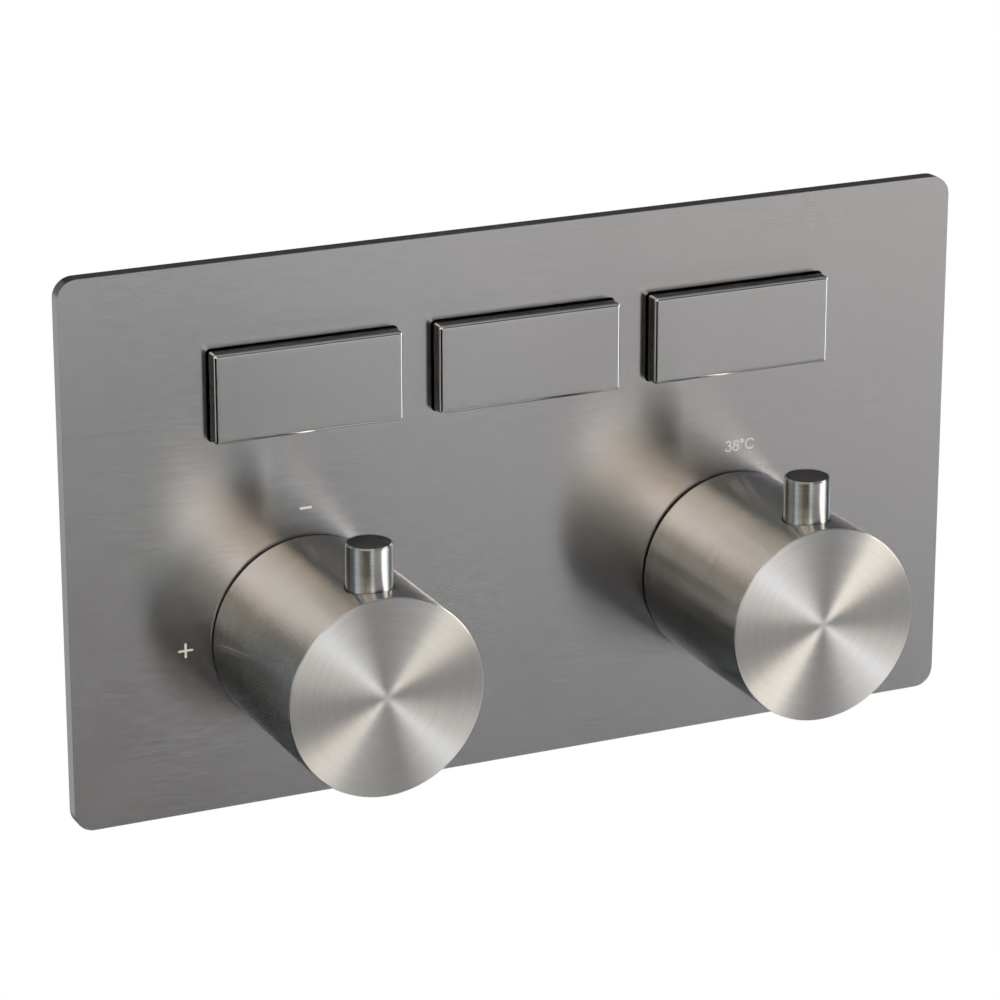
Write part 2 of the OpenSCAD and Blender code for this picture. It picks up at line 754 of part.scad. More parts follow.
module temp_stop_ring()
    stop_ring(right_share, hot_turn + stop_arm_turn / 2 + stop_slack,
        360 - hot_turn - cold_turn - stop_arm_turn - 2 * stop_slack);

// Cartridge shell: a neck, a shoulder under the nut and a cup with a row of ports
module cartridge_shell(base_y, port_ys, ring_setbacks) difference() {
    union() {
        rod_y(neck_r, neck_y, shoulder_y + overrun);
        rod_y(cart_r, shoulder_y, base_y);
    }
    rod_y(spindle_r + run_gap, neck_y - overrun, cart_in_y + overrun);
    rod_y(cart_in_r, cart_in_y, base_y + overrun);
    for (y = port_ys, i = [0 : port_hole_count - 1])
        translate([0, y, 0]) rotate([0, i * 360 / port_hole_count, 0])
            rod_z(port_hole_r, cart_in_r - cart_wall, cart_r + overrun);
    for (d = ring_setbacks)
        tube_y(cart_r + overrun, cart_r - 2 * o_ring_r + seat_gap, shoulder_y + d - o_ring_r - seat_gap,
            shoulder_y + d + o_ring_r + seat_gap);
}

module flow_housing() color("ivory") at_knob(left_share)
    cartridge_shell(flow_base_y, [front_port_y], flow_ring_setbacks);

module temp_housing() color("goldenrod") at_knob(right_share)
    cartridge_shell(temp_base_y, [front_port_y, rear_port_y], temp_ring_setbacks);

module cartridge_o_rings() color("black") {
    at_knob(left_share) for (d = flow_ring_setbacks)
        ring_y(o_ring_mean_r, o_ring_fit_r, shoulder_y + d);
    at_knob(right_share) for (d = temp_ring_setbacks)
        ring_y(o_ring_mean_r, o_ring_fit_r, shoulder_y + d);
}

// Two openings of a ceramic disc, across from each other
module disc_ports(y0, y1, start) for (s = [0, 180])
    arc_y(disc_port_r, disc_port_in_r, y0 - overrun, y1 + overrun, start + s - disc_port_turn / 2,
        disc_port_turn);

module flow_moving_disc() color("whitesmoke") at_knob(left_share) difference() {
    rod_y(disc_r, moving_disc_y, fixed_disc_y);
    disc_ports(moving_disc_y, fixed_disc_y, 0);
    translate([-tongue_len / 2 - seat_gap, moving_disc_y - overrun, -tongue_w / 2 - seat_gap])
        cube([tongue_len + 2 * seat_gap, tongue_t + seat_gap + overrun, tongue_w + 2 * seat_gap]);
}

module flow_fixed_disc() color("whitesmoke") at_knob(left_share) difference() {
    rod_y(cart_in_r - seat_gap, fixed_disc_y, base_seal_y);
    disc_ports(fixed_disc_y, base_seal_y, 90);
}

module flow_base_seal() color("black") at_knob(left_share)
    tube_y(cart_in_r - seat_gap, cart_in_r - base_seal_wall, base_seal_y, flow_base_y);

module temp_pusher() color("goldenrod") at_knob(right_share) difference() {
    rod_y(pusher_r, pusher_y, wax_y);
    rod_y(screw_r + run_gap, pusher_y - overrun, wax_y - pusher_end_t);
}

module wax_element() color("peru") at_knob(right_share) {
    rod_y(wax_flange_r, wax_y, wax_y + wax_flange_t);
    rod_y(wax_r, wax_y, wax_y + wax_len);
    rod_y(wax_tip_r, wax_y, wax_y + wax_len + wax_tip_len);
}

module mixing_shuttle() color("lightgray") at_knob(right_share) difference() {
    union() {
        tube_y(shuttle_r, shuttle_r - shuttle_wall, shuttle_y, shuttle_back_y);
        tube_y(shuttle_r - overrun, wax_r + seat_gap, shuttle_web_y, shuttle_web_y + shuttle_web_t);
    }
    for (i = [0 : web_hole_count - 1]) rotate([0, i * 360 / web_hole_count, 0])
        translate([wax_r + (shuttle_r - shuttle_wall - wax_r) * web_hole_ring_share, 0, 0])
            rod_y(web_hole_r, shuttle_web_y - overrun, shuttle_web_y + shuttle_web_t + overrun);
}

module return_spring() color("lightgray") at_knob(right_share)
    coil_y(return_mean_r, return_wire_r, shuttle_web_y + shuttle_web_t, base_y, return_turns);

module temp_base() color("goldenrod") at_knob(right_share)
    tube_y(cart_in_r - seat_gap, base_hole_r, base_y, temp_base_y);

// valve body

module hex_mouth(z0, z1) translate([0, 0, z0])
    cylinder(r = port_r * hex_share, h = z1 - z0, $fn = 6);

module body_casting() {
    for (s = [left_share, right_share]) at_knob(s) {
        rod_y(boss_r, boss_depth, cavity_y + boss_floor_t);
        translate([0, front_port_y, 0]) rod_z(gallery_r, 0, upper_z - knob_z + gallery_r - bore_step);
    }
    at_knob(middle_share) translate([0, mixed_y, 0]) rod_x(mixed_r, -col_pitch, col_pitch);
    translate([0, rear_port_y, lower_z])
        rod_x(gallery_r, -inlet_x - port_r - plug_stand, hot_x + riser_bore_r + overrun);
    translate([inlet_x, 0, lower_z]) rod_y(riser_r, front_port_y - riser_r, port_depth);
    translate([0, push_port_y, upper_z])
        rod_x(gallery_r, -col_pitch - gallery_r - bore_step, col_pitch + gallery_r + bore_step);
    for (s = column_shares) {
        at_button(s) rod_y(push_boss_r, push_boss_y, push_boss_back_y);
        translate([s * col_pitch, 0, elbow_z]) rod_y(elbow_r, push_port_y, port_depth);
        translate([s * col_pitch, port_depth, 0]) rod_z(port_r, elbow_z - elbow_r - bore_step, outlet_z);
    }
    for (s = [left_share, right_share]) at_inlet(s) {
        rod_z(port_r, inlet_z, lower_z + gallery_r + bore_step);
        hex_mouth(inlet_z, inlet_z + hex_len);
    }
    for (x = [-post_share, post_share]) {
        translate([x * col_pitch, 0, upper_z]) rod_y(post_r, post_y, push_port_y);
        translate([x * col_pitch, 0, upper_z]) rod_y(foot_r, push_port_y, bracket_y);
        translate([x * col_pitch, 0, lower_z]) rod_y(post_r, post_y, rear_port_y);
        translate([x * col_pitch, 0, lower_z]) rod_y(foot_r, rear_port_y, bracket_y);
    }
}

module body_bores() {
    // cartridge cavities
    for (s = [left_share, right_share]) at_knob(s) {
        rod_y(nut_thread_r, boss_depth - overrun, shoulder_y);
        rod_y(cavity_r, shoulder_y - overrun, cavity_y);
    }
    for (s = column_shares) {
        // push cartridge, valve chamber and the elbow down to the foot of the outlet
        at_button(s) rod_y(push_r + run_gap, push_boss_y - overrun, push_back_y);
        at_button(s) rod_y(valve_chamber_r, push_back_y - overrun, push_back_y + valve_chamber_len);
        translate([s * col_pitch, elbow_y, 0]) rod_z(shaft_r, elbow_foot_z, button_rise);
        translate([s * col_pitch, 0, elbow_z]) rod_y(elbow_bore_r, elbow_y, port_depth);
        translate([s * col_pitch, push_port_y, 0]) rod_z(shaft_r, upper_z, button_rise);
        // outlet
        translate([s * col_pitch, port_depth, 0]) {
            rod_z(waterway_r, elbow_foot_z, outlet_z);
            rod_z(port_bore_r, outlet_z - port_thread_len, outlet_z + overrun);
            rod_z(spot_r, outlet_z, outlet_z + push_boss_r);
        }
    }
    // upper gallery, fed by the flow cartridge
    translate([0, push_port_y, upper_z]) rod_x(gallery_bore_r, -col_pitch, col_pitch);
    at_knob(left_share) translate([0, front_port_y, 0]) rod_z(riser_bore_r, 0, upper_z - knob_z + riser_over);
    // mixed water, from the thermostat to the flow cartridge
    at_knob(middle_share) translate([0, mixed_y, 0]) rod_x(mixed_bore_r, -col_pitch, col_pitch);
    // hot and cold supplies
    translate([0, rear_port_y, lower_z]) rod_x(gallery_bore_r, -inlet_x, hot_x);
    translate([hot_x, rear_port_y, 0]) rod_z(riser_bore_r, lower_z, knob_z);
    translate([inlet_x, 0, lower_z])
        rod_y(riser_bore_r + bore_step, front_port_y - riser_bore_r - bore_step, port_depth);
    translate([inlet_x, front_port_y, 0]) rod_z(riser_bore_r, lower_z, knob_z);
    for (s = [left_share, right_share]) at_inlet(s) {
        rod_z(port_bore_r, inlet_z - overrun, filter_z);
        rod_z(check_r + seat_gap, filter_z - overrun, check_z + check_len);
        rod_z(waterway_r - overrun, check_z, lower_z);
    }
    // threads for the standoffs and the bracket screws
    at_posts() rod_y(standoff_stud_r + run_gap, post_y - overrun, post_y + standoff_stud_len + wide_gap);
    at_posts() rod_y(screw6_core_r, bracket_back_y - screw6_len - overrun, bracket_back_y);
}

module valve_body() color("darkgoldenrod") difference() {
    body_casting();
    body_bores();
}

// check valves and filters in the inlets

module check_body(share) color("ivory") at_inlet(share) {
    difference() {
        rod_z(check_r, check_z, check_z + check_len);
        rod_z(check_r - check_wall, check_z + check_seat_t, check_z + check_len + overrun);
        rod_z(check_seat_r, check_z - overrun, check_z + check_seat_t + overrun);
    }
    difference() {
        union() {
            rod_z(check_guide_r, check_guide_z, check_guide_z + check_guide_t);
            for (i = [0 : check_spokes - 1]) rotate(i * 360 / check_spokes)
                translate([0, -check_spoke_w / 2, check_guide_z])
                    cube([check_r - check_wall / 2, check_spoke_w, check_guide_t]);
        }
        rod_z(check_stem_r + run_gap, check_guide_z - overrun, check_guide_z + check_guide_t + overrun);
    }
}

module check_poppet(share) color("orange") at_inlet(share) {
    rod_z(check_head_r, check_head_z, check_head_z + check_head_t);
    rod_z(check_stem_r, check_head_z, check_guide_z + check_guide_t);
}

module check_spring(share) color("lightgray") at_inlet(share)
    coil(check_spring_r, check_wire_r, check_head_z + check_head_t, check_guide_z, check_turns);

module inlet_filters() color("gainsboro") for (s = [left_share, right_share]) at_inlet(s)
    difference() {
        rod_z(check_r, filter_z, check_z);
        rod_z(filter_hole_r, filter_z - overrun, check_z + overrun);
        for (k = [1 : filter_rings], i = [0 : k * filter_ring_holes - 1])
            rotate(i * 360 / (k * filter_ring_holes)) translate([k * filter_ring_step, 0, 0])
                rod_z(filter_hole_r, filter_z - overrun, check_z + overrun);
    }

// wall bracket

module wall_bracket() color("lightsteelblue") difference() {
    translate([0, 0, bracket_z]) {
        slab(bracket_w, bracket_h, bracket_corner_r, bracket_y, bracket_back_y);
        for (x = [-1, 1]) translate([x * (bracket_w - bracket_t) / 2, 0, 0])
            box_y(bracket_t, bracket_h - 2 * bracket_corner_r, bracket_y - bracket_flange, bracket_back_y);
    }
    at_posts() turned_y([
        [0, bracket_y - overrun], [screw6_r + seat_gap, bracket_y - overrun],
        [screw6_r + seat_gap, bracket_back_y - bracket_t + seat_gap],
        [screw6_head_r + seat_gap, bracket_back_y], [0, bracket_back_y]
    ]);
    translate([0, 0, bracket_z]) for (x = [-1, 1], z = [-1, 1])
        translate([x * (bracket_w / 2 - fixing_inset_x), 0, z * (bracket_h / 2 - fixing_inset_z)])
            rod_y(fixing_hole_r, bracket_y - overrun, bracket_back_y + overrun);
}

module bracket_screws() color("gainsboro") at_posts() turned_y([
    [0, bracket_back_y - screw6_len], [screw6_r, bracket_back_y - screw6_len],
    [screw6_r, bracket_back_y - bracket_t + seat_gap], [screw6_head_r, bracket_back_y], [0, bracket_back_y]
]);

face_plate();
plate_seal();
stud_grips();
support_frame();
frame_standoffs();
frame_screws();
button_guide();
guide_screws();
valve_body();
wall_bracket();
bracket_screws();
cartridge_nuts();
spindle_sleeves();
sleeve_seals();
cartridge_o_rings();
flow_housing();
flow_stop_ring();
flow_fixed_disc();
flow_base_seal();
temp_housing();
temp_stop_ring();
temp_base();
push_housing(left_share);  // push_housing_left
push_housing(middle_share);  // push_housing_middle
push_housing(right_share);  // push_housing_right
check_body(left_share);  // check_body_hot
check_body(right_share);  // check_body_cold
inlet_filters();
knob(left_share);  // flow_knob
lever_pin(left_share);  // flow_pin
knob_insert(left_share);  // flow_insert
grub_screw(left_share);  // flow_grub
flow_spindle();
flow_moving_disc();
knob(right_share);  // temp_knob
lever_pin(right_share);  // temp_pin
knob_insert(right_share);  // temp_insert
grub_screw(right_share);  // temp_grub
temp_spindle();
temp_pusher();
wax_element();
mixing_shuttle();
return_spring();
button(left_share);  // button_left
button(middle_share);  // button_middle
button(right_share);  // button_right
button_carrier(left_share);  // button_carrier_left
button_carrier(middle_share);  // button_carrier_middle
button_carrier(right_share);  // button_carrier_right
plunger(left_share);  // plunger_left
plunger(middle_share);  // plunger_middle
plunger(right_share);  // plunger_right
button_spring(left_share);  // button_spring_left
button_spring(middle_share);  // button_spring_middle
button_spring(right_share);  // button_spring_right
check_poppet(left_share);  // check_poppet_hot
check_poppet(right_share);  // check_poppet_cold
check_spring(left_share);  // check_spring_hot
check_spring(right_share);  // check_spring_cold
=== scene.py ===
import json
import math

import bmesh
import bpy
import numpy as np
from mathutils import Matrix, Vector


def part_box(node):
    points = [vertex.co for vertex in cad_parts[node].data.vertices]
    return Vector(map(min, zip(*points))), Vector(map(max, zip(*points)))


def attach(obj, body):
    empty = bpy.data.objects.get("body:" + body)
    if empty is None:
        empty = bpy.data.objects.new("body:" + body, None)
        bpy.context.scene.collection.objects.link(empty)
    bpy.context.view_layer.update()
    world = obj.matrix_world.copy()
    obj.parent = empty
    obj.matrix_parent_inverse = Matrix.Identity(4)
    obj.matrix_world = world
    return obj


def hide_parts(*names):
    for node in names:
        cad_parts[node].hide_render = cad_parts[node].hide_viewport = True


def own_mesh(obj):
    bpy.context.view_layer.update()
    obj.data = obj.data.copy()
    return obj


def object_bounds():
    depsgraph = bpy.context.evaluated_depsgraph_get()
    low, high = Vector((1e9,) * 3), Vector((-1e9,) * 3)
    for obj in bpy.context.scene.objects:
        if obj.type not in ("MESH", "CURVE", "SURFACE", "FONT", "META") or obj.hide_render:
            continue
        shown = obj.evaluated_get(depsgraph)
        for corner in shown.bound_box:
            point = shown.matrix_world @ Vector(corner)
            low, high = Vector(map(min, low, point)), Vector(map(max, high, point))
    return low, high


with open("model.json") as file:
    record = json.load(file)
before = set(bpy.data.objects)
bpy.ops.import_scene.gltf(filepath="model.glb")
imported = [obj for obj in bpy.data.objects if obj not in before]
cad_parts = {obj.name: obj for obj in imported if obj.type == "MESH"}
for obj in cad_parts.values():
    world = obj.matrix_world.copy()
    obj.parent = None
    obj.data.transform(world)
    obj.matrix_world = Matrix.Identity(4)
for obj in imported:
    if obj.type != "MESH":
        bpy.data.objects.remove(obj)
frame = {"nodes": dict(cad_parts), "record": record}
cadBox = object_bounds()
nodes = frame["nodes"]
behaviour = frame["record"]["behaviour"]
bodyOf = {node: body for body, group in behaviour["bodies"].items() for node in group}
joints = {joint["name"]: joint for joint in behaviour["joints"]}
mm = 0.001
print("frame loaded:", len(nodes), "nodes")


def lowest(node):
    # a CAD node's lowest corner, to a hundredth of a millimetre
    return [round(place, 5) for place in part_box(node)[0]]


def middle(node):
    # the middle of its box, rounded the same way
    return [round((low + high) / 2, 5) for low, high in zip(*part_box(node))]


# shader helpers

class Wire:
    # one socket of a node tree; arithmetic on it adds the Math nodes
    def __init__(self, tree, socket=None):
        self.tree = tree
        self.socket = socket

    def add(self, kind, settings=None, inputs=None, out=0):
        # any node: its type, then its settings, then the values or links of its sockets
        made = self.tree.nodes.new(kind)
        for key, value in (settings or {}).items():
            setattr(made, key, value)
        for key, value in (inputs or {}).items():
            if isinstance(value, Wire):
                self.tree.links.new(value.socket, made.inputs[key])
            else:
                made.inputs[key].default_value = value
        return Wire(self.tree, made.outputs[out] if made.outputs else None)

    def maths(self, operation, *values):
        return self.add("ShaderNodeMath", {"operation": operation}, dict(enumerate(values)))

    def __add__(self, other):
        return self.maths("ADD", self, other)

    def __radd__(self, other):
        return self.maths("ADD", other, self)

    def __sub__(self, other):
        return self.maths("SUBTRACT", self, other)

    def __rsub__(self, other):
        return self.maths("SUBTRACT", other, self)

    def __mul__(self, other):
        return self.maths("MULTIPLY", self, other)

    def __rmul__(self, other):
        return self.maths("MULTIPLY", other, self)

    def __truediv__(self, other):
        return self.maths("DIVIDE", self, other)

    def __rtruediv__(self, other):
        return self.maths("DIVIDE", other, self)

    def __pow__(self, other):
        return self.maths("POWER", self, other)

    def __rpow__(self, other):
        return self.maths("POWER", other, self)

    def step(self, low, high):
        # 0 below low, 1 above high, smooth between
        return self.add("ShaderNodeMapRange", {"interpolation_type": "SMOOTHSTEP"},
                        {"Value": self, "From Min": low, "From Max": high})

    def tint(self, first, second):
        # first where this value is 0, second where it is 1
        return self.add("ShaderNodeMix", {"data_type": "RGBA"}, {0: self, 6: first, 7: second}, out=2)

    def stretch(self, scale):
        return self.add("ShaderNodeVectorMath", {"operation": "MULTIPLY"}, {0: self, 1: scale})

    def shift(self, move):
        return self.add("ShaderNodeVectorMath", {"operation": "ADD"}, {0: self, 1: move})

    def noise(self, detail, scale=1.0):
        return self.add("ShaderNodeTexNoise", None, {"Vector": self, "Scale": scale, "Detail": detail})

    def bump(self, strength, distance):
        return self.add("ShaderNodeBump", None, {"Strength": strength, "Distance": distance, "Height": self})


def newMaterial(name):
    mat = bpy.data.materials.new(name)
    mat.use_nodes = True
    mat.node_tree.nodes.clear()
    return mat, Wire(mat.node_tree)


def finishMaterial(start, sockets):
    # sockets go into the Principled shader by name
    shader = start.add("ShaderNodeBsdfPrincipled", None, sockets)
    start.add("ShaderNodeOutputMaterial", None, {"Surface": shader})


def colour(r, g, b):
    return (r, g, b, 1.0)


def objectPlace(start):
    return start.add("ShaderNodeTexCoord", out="Object")


def split(vector):
    node = vector.add("ShaderNodeSeparateXYZ", None, {0: vector}).socket.node
    return [Wire(vector.tree, node.outputs[i]) for i in range(3)]


def join(start, x, y, z):
    return start.add("ShaderNodeCombineXYZ", None, {0: x, 1: y, 2: z})


def awayFrom(start, place, point):
    # world direction from a point of the object to the surface; it steers the brushed highlight
    lean = place.add("ShaderNodeVectorMath", {"operation": "SUBTRACT"}, {0: place, 1: point})
    return start.add("ShaderNodeVectorTransform",
                     {"vector_type": "VECTOR", "convert_from": "OBJECT", "convert_to": "WORLD"}, {0: lean})


# shapes

softEdge = {"merge": 2e-6, "flatAngle": math.radians(0.6), "edgeAngle": math.radians(28), "segments": 3}
plugSides = 72


def linked(name, mesh):
    made = bpy.data.objects.new(name, mesh)
    bpy.context.scene.collection.objects.link(made)
    return made


def pointsOf(mesh):
    points = np.empty(len(mesh.vertices) * 3)
    mesh.vertices.foreach_get("co", points)
    return points.reshape(-1, 3)


def pieceFromMesh(name, mesh, body, material, replaced=()):
    piece = linked(name, mesh)
    mesh.materials.clear()
    mesh.materials.append(material)
    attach(piece, body)
    if replaced:
        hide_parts(*replaced)
    return piece


def softened(name, material, width=None, reshape=None, mouth=None):
    # a copy of a CAD node, its sharp edges rounded where a width is given;
    # reshape moves its points first, and mouth widens a hole
    shape = bmesh.new()
    shape.from_mesh(nodes[name].data)
    bmesh.ops.remove_doubles(shape, verts=shape.verts, dist=softEdge["merge"])
    bmesh.ops.dissolve_limit(shape, angle_limit=softEdge["flatAngle"], verts=shape.verts, edges=shape.edges)
    mesh = bpy.data.meshes.new(name + "_soft")
    shape.to_mesh(mesh)
    shape.free()
    if reshape:
        mesh.vertices.foreach_set("co", reshape(pointsOf(mesh)).ravel())
        mesh.update()
    if mouth:
        mesh = widened(mesh, *mouth)
    mesh.shade_smooth()
    piece = pieceFromMesh(name + "_finish", mesh, bodyOf[name], material, [name])
    if width:
        bevel = piece.modifiers.new("edge", "BEVEL")
        bevel.width = width
        bevel.segments = softEdge["segments"]
        bevel.limit_method = "ANGLE"
        bevel.angle_limit = softEdge["edgeAngle"]
        bevel.use_clamp_overlap = True
        bevel.face_strength_mode = "FSTR_ALL"
        evenNormals(piece)
    return piece


def widened(mesh, centre, radius, low, high):
    # the mesh less an upright round plug
    plug = bmesh.new()
    bmesh.ops.create_cone(plug, cap_ends=True, segments=plugSides, radius1=radius, radius2=radius,
                          depth=high - low)
    bmesh.ops.translate(plug, vec=(*centre, (low + high) / 2), verts=plug.verts)
    plugMesh = bpy.data.meshes.new("plug")
    plug.to_mesh(plugMesh)
    plug.free()
    holders = [linked("cut", mesh), linked("plug", plugMesh)]
    cut = holders[0].modifiers.new("cut", "BOOLEAN")
    cut.operation = "DIFFERENCE"
    cut.solver = "EXACT"
    cut.object = holders[1]
    bpy.context.view_layer.update()
    made = bpy.data.meshes.new_from_object(holders[0].evaluated_get(bpy.context.evaluated_depsgraph_get()))
    for holder in holders:
        bpy.data.objects.remove(holder)
    return made


def evenNormals(piece):
    # large faces stay flat up to their rounded edges
    even = piece.modifiers.new("even", "WEIGHTED_NORMAL")
    even.mode = "FACE_AREA"
    even.weight = 100
    even.keep_sharp = True
    even.use_face_influence = True


def gridFaces(rows, count):
    # quads between neighbouring closed rows of points
    i, j = np.meshgrid(np.arange(rows - 1), np.arange(count), indexing="ij")
    k = (j + 1) % count
    quads = [i * count + j, i * count + k, (i + 1) * count + k, (i + 1) * count + j]
    return np.stack(quads, -1).reshape(-1, 4)


def outward(mesh):
    shape = bmesh.new()
    shape.from_mesh(mesh)
    bmesh.ops.recalc_face_normals(shape, faces=shape.faces)
    shape.to_mesh(mesh)
    shape.free()


# finishes

plateLook = {"colour": colour(0.55, 0.54, 0.537), "dark": colour(0.51, 0.50, 0.497), "rough": 0.22,
             "anisotropy": 0.85, "grain": (300.0, 300.0, 3000.0), "wide": (12.0, 12.0, 900.0),
             "wideShare": 0.15, "contrast": (0.25, 0.75), "cloud": 28.0, "change": 0.04,
             "bump": (0.014, 0.00002), "edgeRough": 0.13, "edgeStart": (0.02, 0.5)}


def plateSteel(name, look, rolledEdge):
    # fine brushing that runs from side to side; a rolled edge is smoother
    mat, start = newMaterial(name)
    place = objectPlace(start)
    fine = place.stretch(look["grain"]).noise(1.0)
    wide = place.stretch(look["wide"]).noise(2.0)
    cloud = place.noise(1.0, look["cloud"])
    mark = fine * (1.0 - look["wideShare"]) + wide * look["wideShare"]
    rough = look["rough"] + (fine - 0.5) * look["change"] + (cloud - 0.5) * look["change"]
    if rolledEdge:
        rolled = start.add("ShaderNodeAttribute", {"attribute_name": "rolled"}, out=2)
        rough = rough + rolled.step(*look["edgeStart"]) * (look["edgeRough"] - look["rough"])
    finishMaterial(start, {
        "Base Color": mark.step(*look["contrast"]).tint(look["dark"], look["colour"]),
        "Metallic": 1.0,
        "Roughness": rough,
        "Anisotropic": look["anisotropy"],
        "Tangent": join(start, 0.0, 0.0, 1.0),
        "Normal": fine.bump(*look["bump"]),
    })
    return mat


knobLook = {"colour": colour(0.60, 0.585, 0.565), "dark": colour(0.52, 0.507, 0.49), "faceRough": 0.42,
            "sideRough": 0.25, "change": 0.08, "anisotropy": 1.0, "rings": 6400.0, "around": 2.6,
            "wideRings": 0.13, "wideAround": 0.6, "wideShare": 0.4, "contrast": (0.25, 0.75),
            "bump": (0.05, 0.00001), "faceEdge": (0.10 * mm, 0.30 * mm), "leanFrom": 0.8}


def turnedSteel(name, look, centre, frontY):
    # rings round the side of a knob and round its front face
    mat, start = newMaterial(name)
    place = objectPlace(start)
    x, y, z = split(place.shift((-centre[0], 0.0, -centre[1])))
    radius = (x * x + z * z) ** 0.5
    face = 1.0 - y.step(*[frontY + depth for depth in look["faceEdge"]])
    along = face * (radius - y) + y
    cosine, sine = x / (radius + 1e-6), z / (radius + 1e-6)
    fine = join(start, along * look["rings"], cosine * look["around"], sine * look["around"]).noise(3.0)
    wide = join(start, along * (look["rings"] * look["wideRings"]),
                cosine * look["around"] * look["wideAround"],
                sine * look["around"] * look["wideAround"]).noise(2.0)
    mark = fine * (1.0 - look["wideShare"]) + wide * look["wideShare"]
    rough = face * (look["faceRough"] - look["sideRough"]) + look["sideRough"]
    finishMaterial(start, {
        "Base Color": mark.step(*look["contrast"]).tint(look["dark"], look["colour"]),
        "Metallic": 1.0,
        "Roughness": rough + (mark - 0.5) * look["change"],
        "Anisotropic": look["anisotropy"],
        "Tangent": awayFrom(start, place, (centre[0], look["leanFrom"], centre[1])),
        "Normal": fine.bump(*look["bump"]),
    })
    return mat


# dark is the rings' darker grain and also the painted shade on the pin's upward-facing top
pinLook = {"colour": colour(0.50, 0.49, 0.48), "dark": colour(0.41, 0.405, 0.40), "rough": 0.31,
           "change": 0.12, "anisotropy": 0.9, "rings": 5200.0, "around": 180.0, "bump": (0.06, 0.00001),
           "contrast": (0.3, 0.7), "leanFrom": -0.8, "shadedTopFacing": (0.9, 0.97), "topSmooth": 0.7}


def pinSteel(name, look, centre):
    # rings round an upright pin; its flat top is smooth, and painted as shade in the dark tone where it
    # faces up
    mat, start = newMaterial(name)
    place = objectPlace(start)
    x, y, z = split(place.shift((-centre[0], -centre[1], 0.0)))
    fine = join(start, z * look["rings"], x * look["around"], y * look["around"]).noise(3.0)
    # painted shade: where the surface faces up, the flat top takes the dark tone and none of the rings'
    # grain
    top = split(start.add("ShaderNodeNewGeometry", out="Normal"))[2].step(*look["shadedTopFacing"])
    finishMaterial(start, {
        "Base Color": (fine.step(*look["contrast"]) * (1.0 - top)).tint(look["dark"], look["colour"]),
        "Metallic": 1.0,
        "Roughness": (look["rough"] + (fine - 0.5) * look["change"]) * (1.0 - top * look["topSmooth"]),
        "Anisotropic": look["anisotropy"],
        "Tangent": awayFrom(start, place, (centre[0], centre[1], look["leanFrom"])),
        "Normal": fine.bump(*look["bump"]),
    })
    return mat


metalLook = {"detail": 4.0, "cloud": 0.08, "cloudShare": 0.5, "contrast": (0.3, 0.7), "change": 0.2,
             "bump": 0.35}


def plainMetal(name, base, dark, rough, grain, bumpSize, look=metalLook):
    # machined or cast metal with a fine uneven surface
    mat, start = newMaterial(name)
    place = objectPlace(start)
    fine = place.noise(look["detail"], grain)
    cloud = place.noise(2.0, grain * look["cloud"])
    mark = fine * (1.0 - look["cloudShare"]) + cloud * look["cloudShare"]
    finishMaterial(start, {
        "Base Color": mark.step(*look["contrast"]).tint(dark, base),
        "Metallic": 1.0,
        "Roughness": rough + (fine - 0.5) * look["change"],
        "Normal": fine.bump(look["bump"], bumpSize),
    })
    return mat


plasticLook = {"detail": 3.0, "cloud": 0.05, "contrast": (0.3, 0.7), "change": 0.15, "bump": 0.3}


def plainPlastic(name, base, dark, rough, grain, bumpSize, look=plasticLook):
    # moulded plastic, rubber or ceramic, cloudy in tone and fine in grain
    mat, start = newMaterial(name)
    place = objectPlace(start)
    fine = place.noise(look["detail"], grain)
    cloud = place.noise(2.0, grain * look["cloud"])
    finishMaterial(start, {
        "Base Color": cloud.step(*look["contrast"]).tint(dark, base),
        "Roughness": rough + (fine - 0.5) * look["change"],
        "Normal": fine.bump(look["bump"], bumpSize),
    })
    return mat


# each knob's axis in x and z, and the depths that finishes and pieces share
flowPlace, heatPlace = [tuple(middle(knob)[::2]) for knob in ("flow_knob", "temp_knob")]
knobFrontY = lowest("flow_knob")[1]
plateFrontY = lowest("face_plate")[1]
pinY = middle("flow_pin")[1]

plateFinish = plateSteel("brushed_plate", plateLook, False)
buttonFinish = plateSteel("brushed_button", plateLook, True)
flowFinish = turnedSteel("turned_flow_knob", knobLook, flowPlace, knobFrontY)
heatFinish = turnedSteel("turned_heat_knob", knobLook, heatPlace, knobFrontY)
flowPinFinish = pinSteel("turned_flow_pin", pinLook, (flowPlace[0], pinY))
heatPinFinish = pinSteel("turned_heat_pin", pinLook, (heatPlace[0], pinY))

